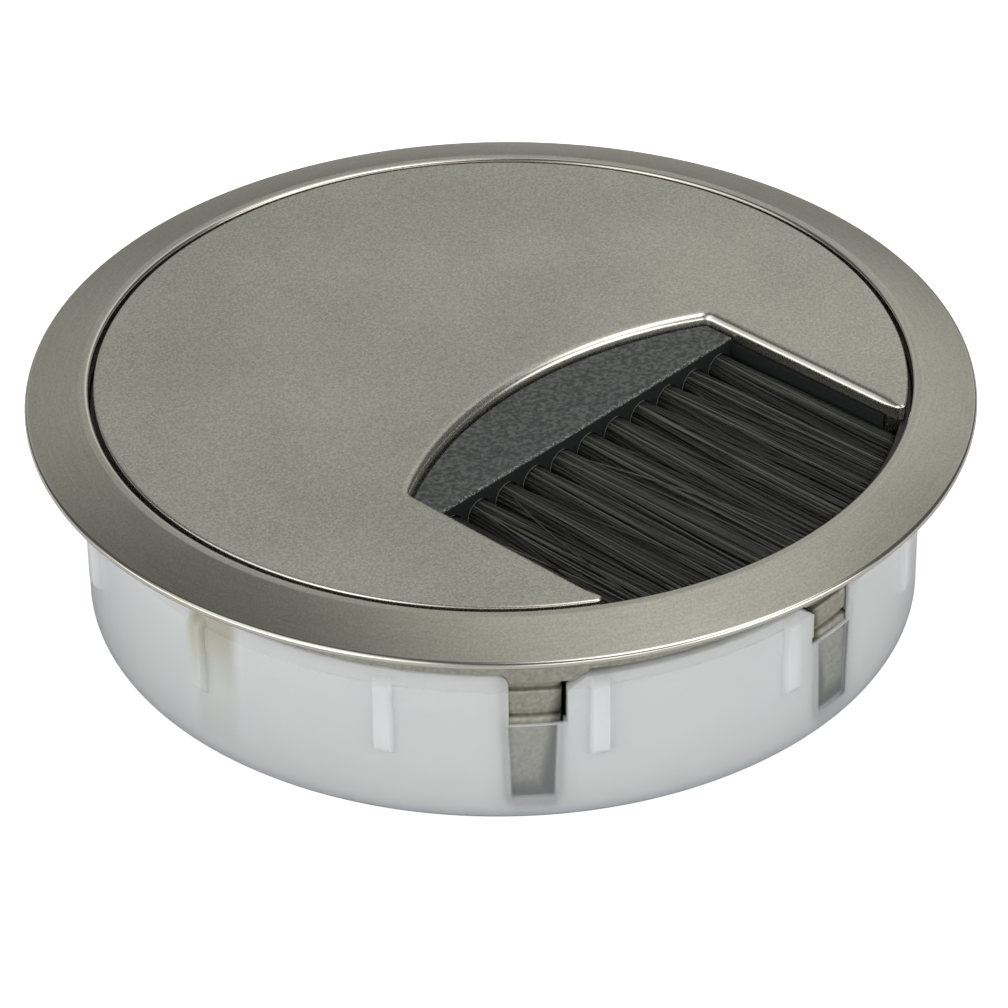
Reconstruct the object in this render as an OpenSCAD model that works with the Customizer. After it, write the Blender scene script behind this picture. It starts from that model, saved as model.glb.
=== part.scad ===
// Round desk grommet: a cast ring with a plastic sleeve, and a lift-out lid that turns in it.
// The lid has a cut-out for cables, closed by a row of bristle tufts in a moulded holder.
// Z is up. The origin is on the ring's axis at the height of the desk top, and the
// cut-out faces -Y. All sizes are in millimetres.

/* [Ring] */
// Outer diameter of the flange that lies on the desk
flange_d = 89; // [88:0.5:94]
// Thickness of the flange at its outer edge
flange_edge_t = 0.8; // [0.6:0.1:1.2]
// Height of the flange's inner lip above its outer edge
flange_rise = 1.33; // [1:0.01:1.6]
// Width of the flat lip around the opening
lip_w = 0.95; // [0.6:0.05:1.5]
// Diameter of the opening that the lid sits in
opening_d = 76.9; // [76.6:0.1:77]
// Outer diameter of the skirt under the flange
skirt_d = 78.7; // [78.5:0.1:78.8]
// Depth of the shelf that carries the glide ring, below the desk top
shelf_depth = 3.3; // [3.2:0.1:3.5]
// Diameter of the clear throat inside the shelf
throat_d = 73.2; // [73:0.1:73.6]

/* [Legs] */
// Number of legs under the ring
leg_count = 8; // [8]
// Turn of the whole leg and rib pattern away from the cut-out, in degrees
pattern_turn = -19.8; // [-30:0.1:30]
// Width of a leg at its top
leg_top_w = 5.6; // [5.4:0.1:6]
// Width of a leg at its end
leg_end_w = 4.9; // [4.5:0.1:5.2]
// Depth of the legs' ends below the desk top
leg_depth = 18.7; // [16:0.1:19]
// How much further apart a pair of snap legs stands than the other legs, to each side, in degrees
snap_spread = 0.3; // [0:0.1:0.5]
// How far a plain leg's end leans in towards the axis
leg_lean = 0.9; // [0:0.1:1.2]

/* [Sleeve] */
// Outer diameter of the sleeve's plain wall
sleeve_d = 79; // [78.8:0.1:79.4]
// Wall thickness of the sleeve
sleeve_wall = 1.2; // [1.1:0.05:1.2]
// Depth of the sleeve's top edge below the desk top
sleeve_top_depth = 4.35; // [4.3:0.05:4.4]
// How much lower the top edge lies between the two snap legs of a pair
pair_dip = 0.55; // [0.4:0.05:0.7]
// Depth of the sleeve's bottom edge below the desk top
sleeve_depth = 20.1; // [19.5:0.1:24]
// Number of grip ribs around the sleeve
rib_count = 12; // [12]
// Angle from one grip rib to the next, in degrees; the gap opposite takes up the rest
rib_pitch = 28.1; // [27.5:0.1:30]
// Width of a grip rib
rib_w = 1.8; // [1.4:0.1:2.2]
// How far a grip rib stands out of the wall
rib_proud = 0.8; // [0.5:0.1:1]
// Depth of a rib's lower end below the desk top
rib_depth = 13.5; // [12:0.5:15]

/* [Lid] */
// Diameter of the lid
lid_d = 76; // [75.8:0.1:76.2]
// Thickness of the lid's plate
plate_t = 1.63; // [1.5:0.01:1.8]
// Width of the cable cut-out
cutout_w = 40.4; // [38:0.2:41]
// Radius of the cut-out's curved inner end
cutout_end_r = 40; // [38:0.5:44]
// Distance from the lid's centre to the cut-out's curved end
cutout_start = 2.4; // [2:0.1:3]

/* [Brush] */
// Number of bristle tufts
tuft_count = 11; // [9:1:11]
// Distance from one tuft to the next
tuft_pitch = 3.65; // [3.4:0.05:3.65]
// Diameter of a tuft hole in the holder
tuft_hole_d = 3; // [2.8:0.1:3]
// Distance from the lid's centre to the holder's straight front face
holder_front = 11.2; // [10.5:0.1:12]
// Depth of the holder's top face below the lid's top face
holder_sink = 1.13; // [1:0.01:1.3]

/* [Hidden] */
$fn = 128;

slip = 0.05;            // gap between faces that rest on or slide past each other
over = 1;               // how far a cutter runs past the face it opens
arc_rise = 0.2;         // lifts a blending arc so that it meets the edge above it at an angle

flange_r = flange_d / 2;
opening_r = opening_d / 2;
skirt_r = skirt_d / 2;
throat_r = throat_d / 2;
edge_r = flange_edge_t / 2;
lip_round = 0.35;
rim_z = flange_edge_t + flange_rise;
shelf_z = -shelf_depth;
skirt_low_z = -sleeve_top_depth + slip;
slot_w = rib_w + 2 * slip;      // a slot in the skirt over each grip rib
slot_depth = 0.4;

sleeve_r = sleeve_d / 2;
sleeve_in_r = sleeve_r - sleeve_wall;
sleeve_top_z = -sleeve_top_depth;
sleeve_low_z = -sleeve_depth;
collar_proud = 0.15;    // the collar's lower band stands this far out of the wall
collar_mid_z = -6;
collar_low_z = -8.7;
dip_z = -sleeve_top_depth - pair_dip;
notch_low_z = -9.7;
notch_out_w = 2.1;      // the notch ends this far from the leg's middle, away from the pair's middle
notch_in_w = 3.1;       // and this far from it on the side of the pair's middle
notch_round = 1.3;      // the shoulder on the first side is round
ramp_w = 1.96;          // the shoulder on the second side is a ramp, which runs on past the
ramp_low_z = -6.2;      // sleeve's lower top edge there
ramp_high_z = dip_z + 0.2;
sleeve_round = 0.5;
skin_t = 0.35;          // wall left in front of a snap leg's pocket
pocket_gap = 0.15;
rib_round = 1.1;        // radius of a rib's lower end, seen from its side
rib_lead_z = dip_z - 0.1;       // a rib's sloping upper end starts from the wall here

neck_gap = 0.1;                 // the ring's neck stands this far inside the sleeve
neck_r = sleeve_in_r - neck_gap;
neck_low_z = -5.8;
leg_low_z = -leg_depth;
leg_overlap = 0.3;              // the legs start this far inside the shelf's solid
leg_root_z = skirt_low_z + leg_overlap;
leg_straight = 1;               // a plain leg leans in from this far below the neck
lean_top_z = neck_low_z - leg_straight;
leg_t = 1.3;
leg_set_in = 0.2;               // plain legs hang this far inside the neck's outer face
plain_leg_r = neck_r - leg_set_in;
snap_leg_r = sleeve_r - skin_t - slip;  // snap legs fill a pocket in the sleeve's wall
leg_corner_r = 1.2;
leg_fillet_r = 1.6;
groove_depth = 0.5;             // two grooves cross a snap leg, seen through the notch
groove_r = snap_leg_r - groove_depth;
groove_1_top_z = -5.3;
groove_1_low_z = -6.2;
groove_2_top_z = -8.35;
groove_2_low_z = -9.05;
apron_set_in = 0.15;
apron_r = skirt_r - apron_set_in;
apron_gap = 0.1;
ramp_gap = 0.35;                // gap between the apron and the notch's ramp

lid_r = lid_d / 2;
plate_low_z = rim_z - plate_t;
lid_bevel = 0.3;
glide_r = opening_r - slip;
glide_wall = 0.9;
glide_in_r = glide_r - glide_wall;
glide_top_z = plate_low_z - slip;
turn_gap = 0.15;                // gap between the lid's skirt and the glide ring
lid_skirt_r = glide_in_r - turn_gap;
lid_skirt_t = 1.1;
lid_skirt_lift = 0.4;           // the lid's skirt ends this far above the shelf
lid_skirt_low_z = shelf_z + lid_skirt_lift;

cutout_centre = cutout_start + cutout_end_r;
holder_gap = 0.25;              // gap between the holder and the cut-out's walls
holder_top_z = rim_z - holder_sink;
holder_base_top_z = plate_low_z - slip;
tuft_sink = 2.6;                // the tufts' axes lie this far below the holder's top face
tuft_z = holder_top_z - tuft_sink;
tuft_hole_r = tuft_hole_d / 2;
tuft_hole_depth = 5;
holder_floor_t = 0.8;           // material under the tuft holes
holder_low_z = tuft_z - tuft_hole_r - holder_floor_t;
holder_base_margin = 3.5;       // the base reaches this far under the plate, past the cut-out's end
arm_out_x = cutout_w / 2 + 1.2; // the arms' outer faces, and the base's sides
arm_in_x = cutout_w / 2 - 0.3;  // the arms' inner faces show past the cut-out's edges
arm_gap = 0.3;                  // gap between the arms' ends and the lid's skirt
arm_end_r = lid_skirt_r - lid_skirt_t - arm_gap;
arm_low_z = shelf_z;

boss_x = 12;
boss_y = 1;
boss_r = 2;
boss_gap = 0.1;                 // gap around a boss, and under it, in the holder's ear
boss_hole_r = 1.1;
ear_r = 3.6;
ear_low_z = -1.7;
boss_low_z = ear_low_z + boss_gap;
boss_hole_top_z = plate_low_z + 0.4;    // the blind holes end inside the plate
screw_head_r = 2.8;
screw_head_h = 1.3;
screw_shank_r = boss_hole_r - slip;
screw_end_gap = 0.2;
screw_recess_w = 0.7;
screw_recess_l = 3.2;
screw_recess_depth = 0.8;

tuft_hole_gap = 0.15;           // gap between a tuft's root and its hole
tuft_root_r = tuft_hole_r - tuft_hole_gap;
tuft_tip_r = 1.6;
tuft_end_gap = 0.2;
tuft_end_r = glide_in_r - tuft_end_gap;
anchor_size = [2.4, 0.35, 1.6];
anchor_gap = 0.1;
tuft_back = holder_front - tuft_hole_depth + anchor_size[1] + 2 * anchor_gap;

metal = "#96948a";
milky = [0.88, 0.91, 0.92, 0.75];
black = "#2b2c2b";

// A 2D bar in the (radius, height) plane of a lathe section.
module band(r0, r1, z0, z1) {
    translate([r0, z0]) square([r1 - r0, z1 - z0]);
}

// The waste outside a rounded corner. The corner is at the origin and the solid lies towards
// (sx, sy) from it.
module corner_waste(r, sx, sy) {
    difference() {
        translate([sx > 0 ? -over : -r, sy > 0 ? -over : -r]) square(r + over);
        translate([sx * r, sy * r]) circle(r);
    }
}

// Half section of the ring: flange, lip, skirt, shelf and neck.
module ring_section() {
    difference() {
        union() {
            polygon([
                [opening_r, rim_z], [opening_r + lip_w, rim_z],
                [flange_r - edge_r, flange_edge_t], [flange_r - edge_r, 0],
                [opening_r, 0]
            ]);
            translate([flange_r - edge_r, edge_r]) circle(edge_r);
            band(opening_r, skirt_r, skirt_low_z, slip);
            band(throat_r, skirt_r, skirt_low_z, shelf_z);
            band(throat_r, neck_r, neck_low_z, shelf_z);
        }
        translate([opening_r, rim_z]) corner_waste(lip_round, 1, -1);
    }
}

// Outline of a leg seen from outside, grown by a gap on every side: x runs around the ring
// and y is the height. Above the leg's root it goes straight up to top_z.
module leg_outline(top_z, gap) {
    top_x = leg_top_w / 2 + gap;
    end_x = leg_end_w / 2 + gap;
    corner_x = leg_end_w / 2 - leg_corner_r;
    corner_z = leg_low_z + leg_corner_r;
    polygon([
        [-top_x, top_z], [top_x, top_z], [top_x, leg_root_z], [end_x, corner_z],
        [-end_x, corner_z], [-top_x, leg_root_z]
    ]);
    translate([-corner_x, leg_low_z - gap]) square([2 * corner_x, leg_corner_r + gap + slip]);
    for (side = [-1, 1]) translate([side * corner_x, corner_z]) circle(leg_corner_r + gap);
}

// Outline of the flare that joins a leg to the neck above it.
module flare_outline() {
    half = leg_top_w / 2 + leg_fillet_r;
    low_z = neck_low_z - leg_fillet_r + arc_rise;
    difference() {
        translate([-half, low_z]) square([2 * half, leg_root_z + slip - low_z]);
        for (side = [-1, 1]) translate([side * half, low_z]) circle(leg_fillet_r);
    }
}

// Cuts a lathe section (first child) to an outline seen from outside (second child).
module cut_to_outline() {
    intersection() {
        rotate_extrude() children(0);
        rotate([90, 0, 0]) linear_extrude(flange_r) children(1);
    }
}

// A leg that leans in behind the sleeve's wall.
module plain_leg() {
    cut_to_outline() {
        polygon([
            [plain_leg_r, leg_root_z], [plain_leg_r, lean_top_z],
            [plain_leg_r - leg_lean, leg_low_z], [plain_leg_r - leg_lean - leg_t, leg_low_z],
            [plain_leg_r - leg_t, lean_top_z], [plain_leg_r - leg_t, leg_root_z]
        ]);
        union() {
            leg_outline(leg_root_z + slip, 0);
            flare_outline();
        }
    }
}

// A leg that snaps into the sleeve: it fills a pocket in the wall, two grooves cross its
// face, and an apron above them fills the shoulders of the sleeve's notch.
module snap_leg() {
    in_r = snap_leg_r - leg_t;
    cut_to_outline() {
        union() {
            band(in_r, groove_r, leg_low_z, leg_root_z);
            band(in_r, snap_leg_r, groove_2_top_z, groove_1_low_z);
            band(in_r, snap_leg_r, leg_low_z, groove_2_low_z);
        }
        leg_outline(leg_root_z + slip, 0);
    }
    cut_to_outline() {
        band(in_r, apron_r, groove_1_top_z, leg_root_z);
        notch_outline(apron_gap, ramp_gap);
    }
}

// The legs stand at almost equal steps. The two pairs on either side of the pattern's own
// middle line are the snap legs.
function is_snap(i) = i % 4 < 2;
function leg_step(i) = (i - 0.5) * 360 / leg_count;
function plain_angle(i) = pattern_turn + leg_step(i);

// Places children at each snap leg, with +x round the ring towards its pair's middle line.
module at_snap_legs() {
    for (end = [0, 180], side = [-1, 1])
        rotate([0, 0, pattern_turn + end + side * (180 / leg_count + snap_spread)])
            mirror([side > 0 ? 1 : 0, 0, 0]) children();
}

module at_ribs() {
    for (i = [0 : rib_count - 1])
        rotate([0, 0, pattern_turn + (i - (rib_count - 1) / 2) * rib_pitch]) children();
}

module flange_ring() {
    color(metal) {
        difference() {
            rotate_extrude() ring_section();
            at_ribs() translate([-slot_w / 2, -flange_r, skirt_low_z - over])
                cube([slot_w, flange_r - skirt_r + slot_depth, -skirt_low_z + over]);
        }
        for (i = [0 : leg_count - 1])
            if (!is_snap(i)) rotate([0, 0, plain_angle(i)]) plain_leg();
        at_snap_legs() snap_leg();
    }
}

// Half section of the sleeve: a thin wall under a slightly proud collar.
module sleeve_section() {
    difference() {
        union() {
            band(sleeve_in_r, sleeve_r, sleeve_low_z, sleeve_top_z);
            band(sleeve_in_r, sleeve_r + collar_proud, collar_low_z, collar_mid_z);
        }
        translate([sleeve_r, sleeve_low_z]) corner_waste(sleeve_round, -1, 1);
    }
}

// A rib seen from its side: x is the radius and y is the height. Its upper end slopes out of
// the wall and its lower end is round.
module rib_side() {
    rib_out_r = sleeve_r + rib_proud;
    root_r = sleeve_r - sleeve_wall / 2;
    round_z = -rib_depth + rib_round;
    polygon([
        [root_r, round_z], [rib_out_r, round_z], [rib_out_r, rib_lead_z - rib_proud],
        [sleeve_r - skin_t, rib_lead_z + skin_t], [root_r, rib_lead_z + skin_t]
    ]);
    band(root_r, rib_out_r - rib_round, -rib_depth, round_z + slip);
    translate([rib_out_r - rib_round, round_z]) circle(rib_round);
}

module grip_rib() {
    intersection() {
        rotate([90, 0, -90]) translate([0, 0, -rib_w / 2]) linear_extrude(rib_w) rib_side();
        rotate_extrude() band(sleeve_in_r + slip, flange_r, sleeve_low_z, sleeve_top_z);
    }
}

// Outline of a notch in the sleeve's collar, seen from outside and pulled in by a gap on
// every side. Its shoulder is round on one side and a ramp on the other, the pair's side.
module notch_outline(gap, rise) {
    out_x = notch_out_w - gap;
    in_x = notch_in_w - gap;
    translate([-out_x, notch_low_z]) square([out_x + in_x, over - notch_low_z]);
    polygon([
        [0, ramp_low_z + rise], [in_x, ramp_low_z + rise],
        [notch_in_w + ramp_w, ramp_high_z + rise], [notch_in_w + ramp_w, over], [0, over]
    ]);
    shoulder_x = notch_out_w + notch_round;
    shoulder_z = sleeve_top_z - notch_round + arc_rise;
    difference() {
        translate([-shoulder_x, shoulder_z]) square([shoulder_x, notch_round + over]);
        translate([-shoulder_x, shoulder_z]) circle(notch_round + gap);
    }
}

// The waste above the lower top edge between the two snap legs of a pair.
module pair_waste() {
    half = 180 / leg_count + snap_spread;
    x = flange_d * sin(half);
    y = flange_d * cos(half);
    intersection() {
        rotate_extrude() band(sleeve_in_r - over, flange_r, dip_z, over);
        translate([0, 0, dip_z - over]) linear_extrude(-dip_z + 3 * over)
            polygon([[0, 0], [x, -y], [-x, -y]]);
    }
}

// The pocket behind the wall's thin skin that a snap leg slides into from above.
module pocket() {
    cut_to_outline() {
        band(sleeve_in_r - over, sleeve_r - skin_t, leg_low_z - over, over);
        leg_outline(over, pocket_gap);
    }
}

module clamp_sleeve() {
    color(milky) difference() {
        union() {
            rotate_extrude() sleeve_section();
            at_ribs() grip_rib();
        }
        for (end = [0, 180]) rotate([0, 0, pattern_turn + end]) pair_waste();
        at_snap_legs() {
            rotate([90, 0, 0]) linear_extrude(flange_r) notch_outline(0, 0);
            pocket();
        }
    }
}

module glide_ring() {
    color(black) rotate_extrude() band(glide_in_r, glide_r, shelf_z, glide_top_z);
}

// Outline of the cut-out seen from above, pulled in by a gap on every side.
module cutout_outline(gap) {
    intersection() {
        translate([0, -cutout_centre]) circle(cutout_end_r - gap);
        translate([-cutout_w / 2 + gap, -cutout_centre - over])
            square([cutout_w - 2 * gap, cutout_centre]);
    }
}

// The lid's round blank: a plate with a bevelled edge, and a skirt under it.
module lid_blank() {
    bevel_z = rim_z - lid_bevel;
    translate([0, 0, plate_low_z]) cylinder(h = bevel_z - plate_low_z, r = lid_r);
    translate([0, 0, bevel_z]) cylinder(h = lid_bevel, r1 = lid_r, r2 = lid_r - lid_bevel);
    rotate_extrude()
        band(lid_skirt_r - lid_skirt_t, lid_skirt_r, lid_skirt_low_z, plate_low_z + slip);
}

module at_bosses() {
    for (side = [-1, 1]) translate([side * boss_x, boss_y, 0]) children();
}

module lid_disc() {
    color(metal) difference() {
        union() {
            lid_blank();
            at_bosses() translate([0, 0, boss_low_z])
                cylinder(h = plate_low_z + slip - boss_low_z, r = boss_r);
        }
        translate([0, 0, lid_skirt_low_z - over])
            linear_extrude(rim_z - lid_skirt_low_z + 2 * over) cutout_outline(0);
        at_bosses() translate([0, 0, boss_low_z - over])
            cylinder(h = boss_hole_top_z - boss_low_z + over, r = boss_hole_r);
    }
}

// Places children at each tuft, with z along the tuft and z = 0 at the given distance.
module at_tuft(i, distance) {
    x = (i - (tuft_count - 1) / 2) * tuft_pitch;
    translate([x, -distance, tuft_z]) rotate([90, 0, 0]) children();
}

// The half plane on the lid's side of the holder's front face.
module behind_front() {
    translate([-flange_r, -holder_front]) square([flange_d, flange_r]);
}

module holder_base_outline() {
    intersection() {
        translate([0, -cutout_centre]) circle(cutout_end_r + holder_base_margin);
        translate([-arm_out_x, -flange_r]) square([2 * arm_out_x, flange_d]);
        behind_front();
    }
}

module holder_arm() {
    intersection() {
        translate([arm_in_x, -flange_r, arm_low_z])
            cube([arm_out_x - arm_in_x, flange_r - holder_front + over,
                  holder_base_top_z - arm_low_z]);
        translate([0, 0, arm_low_z - over])
            cylinder(h = holder_base_top_z - arm_low_z + 2 * over, r = arm_end_r);
    }
}

module brush_holder() {
    color(black) difference() {
        union() {
            translate([0, 0, holder_low_z]) linear_extrude(holder_base_top_z - holder_low_z)
                holder_base_outline();
            translate([0, 0, holder_base_top_z - over])
                linear_extrude(holder_top_z - holder_base_top_z + over) intersection() {
                    cutout_outline(holder_gap);
                    behind_front();
                }
            at_bosses() translate([0, 0, ear_low_z])
                cylinder(h = holder_base_top_z - ear_low_z, r = ear_r);
            holder_arm();
            mirror([1, 0, 0]) holder_arm();
        }
        at_bosses() translate([0, 0, ear_low_z])
            cylinder(h = holder_base_top_z - ear_low_z + slip, r = boss_r + boss_gap);
        at_bosses() translate([0, 0, holder_low_z - over])
            cylinder(h = ear_low_z - holder_low_z + over, r = ear_r + slip);
        for (i = [0 : tuft_count - 1]) at_tuft(i, holder_front - tuft_hole_depth)
            cylinder(h = tuft_hole_depth + over, r = tuft_hole_r);
    }
}

module holder_screws() {
    head_low_z = ear_low_z - slip - screw_head_h;
    color("silver") at_bosses() difference() {
        translate([0, 0, head_low_z]) union() {
            cylinder(h = screw_head_h, r = screw_head_r);
            cylinder(h = boss_hole_top_z - screw_end_gap - head_low_z, r = screw_shank_r);
        }
        for (turn = [0, 90]) rotate([0, 0, turn])
            translate([-screw_recess_l / 2, -screw_recess_w / 2, head_low_z - over])
                cube([screw_recess_l, screw_recess_w, screw_recess_depth + over]);
    }
}

module tuft_anchors() {
    color("gold") for (i = [0 : tuft_count - 1])
        at_tuft(i, tuft_back - anchor_gap - anchor_size[1])
            translate([-anchor_size[0] / 2, -anchor_size[2] / 2, 0])
                cube([anchor_size[0], anchor_size[2], anchor_size[1]]);
}

// One tuft: a packed round root in its hole, opening slightly towards the rim.
module tuft(i) {
    straight = holder_front - tuft_back;
    color(black) intersection() {
        at_tuft(i, tuft_back) union() {
            cylinder(h = straight, r = tuft_root_r);
            translate([0, 0, straight])
                cylinder(h = flange_r - holder_front, r1 = tuft_root_r, r2 = tuft_tip_r);
        }
        translate([0, 0, holder_low_z]) cylinder(h = rim_z - holder_low_z, r = tuft_end_r);
    }
}

flange_ring();
clamp_sleeve();
glide_ring();
lid_disc();
brush_holder();
holder_screws();
tuft_anchors();
tuft(0);  // tuft_01
tuft(1);  // tuft_02
tuft(2);  // tuft_03
tuft(3);  // tuft_04
tuft(4);  // tuft_05
tuft(5);  // tuft_06
tuft(6);  // tuft_07
tuft(7);  // tuft_08
tuft(8);  // tuft_09
tuft(9);  // tuft_10
tuft(10);  // tuft_11
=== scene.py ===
import math
import random

import bmesh
import bpy
from mathutils import Matrix, Vector


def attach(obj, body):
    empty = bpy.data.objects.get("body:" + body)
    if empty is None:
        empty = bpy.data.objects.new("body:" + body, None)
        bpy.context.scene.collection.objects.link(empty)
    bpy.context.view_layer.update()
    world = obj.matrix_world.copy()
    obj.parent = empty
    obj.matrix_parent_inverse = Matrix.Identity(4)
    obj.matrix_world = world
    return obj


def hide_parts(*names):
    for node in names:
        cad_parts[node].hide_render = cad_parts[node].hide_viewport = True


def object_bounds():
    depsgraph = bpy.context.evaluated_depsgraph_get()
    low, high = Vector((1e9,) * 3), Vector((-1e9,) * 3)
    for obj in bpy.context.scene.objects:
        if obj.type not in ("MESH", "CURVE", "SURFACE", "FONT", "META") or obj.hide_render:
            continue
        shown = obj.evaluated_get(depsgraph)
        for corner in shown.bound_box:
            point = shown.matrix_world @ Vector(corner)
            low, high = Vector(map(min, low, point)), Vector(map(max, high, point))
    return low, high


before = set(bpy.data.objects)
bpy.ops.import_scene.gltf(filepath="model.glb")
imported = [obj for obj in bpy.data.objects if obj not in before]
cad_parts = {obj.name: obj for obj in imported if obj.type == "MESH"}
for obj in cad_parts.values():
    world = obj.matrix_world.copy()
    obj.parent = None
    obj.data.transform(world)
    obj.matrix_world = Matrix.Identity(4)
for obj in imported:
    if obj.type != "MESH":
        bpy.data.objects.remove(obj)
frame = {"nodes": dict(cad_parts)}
cad_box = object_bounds()

# Sizes in millimetres, in the row frame: origin on the ring's axis at the desk top, +Z up,
# cut-out towards -Y. Angles in degrees run from -Y towards +X.
MM = 0.001
PATTERN_TURN = -19.8            # the middle line of the legs and ribs
SNAP_TURN = 22.8                # each snap leg stands this far from its pair's middle line
RIB_COUNT, RIB_PITCH = 12, 28.1
RIM_Z = 2.13                    # top of the lid and of the flange's lip
FLANGE_R, OPENING_R = 44.5, 38.45
SKIRT_R, SKIRT_LOW_Z = 39.35, -4.3
THROAT_R, NECK_R = 36.6, 38.2
SHELF_Z, NECK_LOW_Z = -3.3, -5.8
LEG_LOW_Z, LEG_ROOT_Z = -18.7, -4.0
LEG_TOP_HALF, LEG_END_HALF, LEG_CORNER_R = 2.8, 2.45, 1.2
SNAP_FACE_R, SNAP_GROOVE_R = 39.1, 38.6
MAP_R = 39.2                    # distances round the ring are measured at this radius
SLEEVE_R, SLEEVE_IN_R = 39.5, 38.3
SLEEVE_TOP_Z, PAIR_TOP_Z, SLEEVE_LOW_Z = -4.35, -4.9, -20.1
COLLAR_PROUD, COLLAR_HIGH_Z, COLLAR_LOW_Z = 0.15, -6.0, -8.7
NOTCH_LOW_Z, NOTCH_OUT, NOTCH_IN = -9.7, 2.1, 3.1
SKIN_T = 0.35                   # wall left over a snap leg's pocket
LID_R, PLATE_LOW_Z = 38.0, 0.5
CUTOUT_X, CUTOUT_END_R, CUTOUT_CENTRE_Y = 20.2, 40.0, -42.4
HOLDER_FRONT_Y, HOLDER_TOP_Z = -11.2, 1.0
TUFT_COUNT, TUFT_PITCH, TUFT_Z = 11, 3.65, -1.6
TUFT_BACK_Y, TUFT_END_R = -6.75, 37.3


# ---------------------------------------------------------------- mesh helpers

def point_at(angle, radius, z):
    """The point at an angle from -Y towards +X, in metres."""
    a = math.radians(angle)
    return Vector((radius * math.sin(a), -radius * math.cos(a), z)) * MM


def blend_step(value, low, high):
    """0 below low and 1 above high, with a smooth step between."""
    t = min(max((value - low) / (high - low), 0.0), 1.0)
    return t * t * (3 - 2 * t)


def rounded(corners, steps):
    """A closed 2D outline with its corners rounded. Each corner is (x, y, radius)."""
    points = []
    for i, (x, y, radius) in enumerate(corners):
        here = Vector((x, y))
        if radius == 0:
            points.append(here)
            continue
        before, after = corners[i - 1], corners[(i + 1) % len(corners)]
        back = (Vector(before[:2]) - here).normalized()
        ahead = (Vector(after[:2]) - here).normalized()
        turn = math.pi - back.angle(ahead)
        centre = here + (back + ahead).normalized() * (radius / math.cos(turn / 2))
        cut = radius * math.tan(turn / 2)
        start, end = here + back * cut - centre, here + ahead * cut - centre
        for k in range(steps + 1):
            t = k / steps
            from_start, to_end = math.sin((1 - t) * turn), math.sin(t * turn)
            points.append(centre + (start * from_start + end * to_end) / math.sin(turn))
    return points


def stack(bm, loops, close_ring=False):
    """Joins loops of points, all of one length, into a skin, with a cap on each end."""
    rows = [[bm.verts.new(p) for p in loop] for loop in loops]
    pairs = list(zip(rows, rows[1:]))
    if close_ring:
        pairs.append((rows[-1], rows[0]))
    for low, high in pairs:
        for j in range(len(low)):
            k = (j + 1) % len(low)
            bm.faces.new((low[j], low[k], high[k], high[j]))
    if not close_ring:
        bm.faces.new(list(reversed(rows[0])))
        bm.faces.new(rows[-1])


def lathe(bm, profile, segments):
    """Turns a closed (radius, z) profile round the axis."""
    loops = []
    for i in range(segments):
        angle = 360 * i / segments
        loops.append([point_at(angle, p[0], p[1]) for p in profile])
    stack(bm, loops, close_ring=True)


def tube(bm, centre, radii, heights, angles, segments):
    """A tube or part of one; angles are (0, 360) for a whole tube."""
    whole = angles[1] - angles[0] >= 360
    loops = []
    for i in range(segments if whole else segments + 1):
        angle = angles[0] + (angles[1] - angles[0]) * i / segments
        corners = [(radii[0], heights[0]), (radii[1], heights[0]),
                   (radii[1], heights[1]), (radii[0], heights[1])]
        offset = Vector((*centre, 0)) * MM
        loops.append([point_at(angle, r, z) + offset for r, z in corners])
    stack(bm, loops, close_ring=whole)


def mesh_from(bm, name):
    bmesh.ops.recalc_face_normals(bm, faces=bm.faces)
    mesh = bpy.data.meshes.new(name)
    bm.to_mesh(mesh)
    bm.free()
    return mesh


def add_object(mesh, name):
    obj = bpy.data.objects.new(name, mesh)
    bpy.context.scene.collection.objects.link(obj)
    return obj


def combined(obj, others, operation):
    """Applies a boolean with each of the other objects, which are then removed."""
    for other in others:
        boolean = obj.modifiers.new("boolean", "BOOLEAN")
        boolean.operation = operation
        boolean.solver = "EXACT"
        boolean.object = other
    graph = bpy.context.evaluated_depsgraph_get()
    mesh = bpy.data.meshes.new_from_object(obj.evaluated_get(graph))
    mesh.name = obj.name
    obj.modifiers.clear()
    obj.data = mesh
    for other in others:
        bpy.data.objects.remove(other)


def shade(mesh, angle, cap_area=None):
    """Smooth shading, with edges sharper than the angle, and those round big flat caps, kept."""
    bm = bmesh.new()
    bm.from_mesh(mesh)
    for face in bm.faces:
        face.smooth = True
    for edge in bm.edges:
        if len(edge.link_faces) == 2:
            sharp = edge.calc_face_angle(0) > math.radians(angle)
            if cap_area and max(f.calc_area() for f in edge.link_faces) > cap_area:
                sharp = True
            edge.smooth = not sharp
    bm.to_mesh(mesh)
    bm.free()


def place(obj, body, slot, material, *nodes):
    """Puts a finished piece on its body, in place of these CAD nodes."""
    obj.data.materials.clear()
    obj.data.materials.append(material)
    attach(obj, body)
    if nodes:
        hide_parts(*nodes)


# ---------------------------------------------------------------- materials

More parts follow.
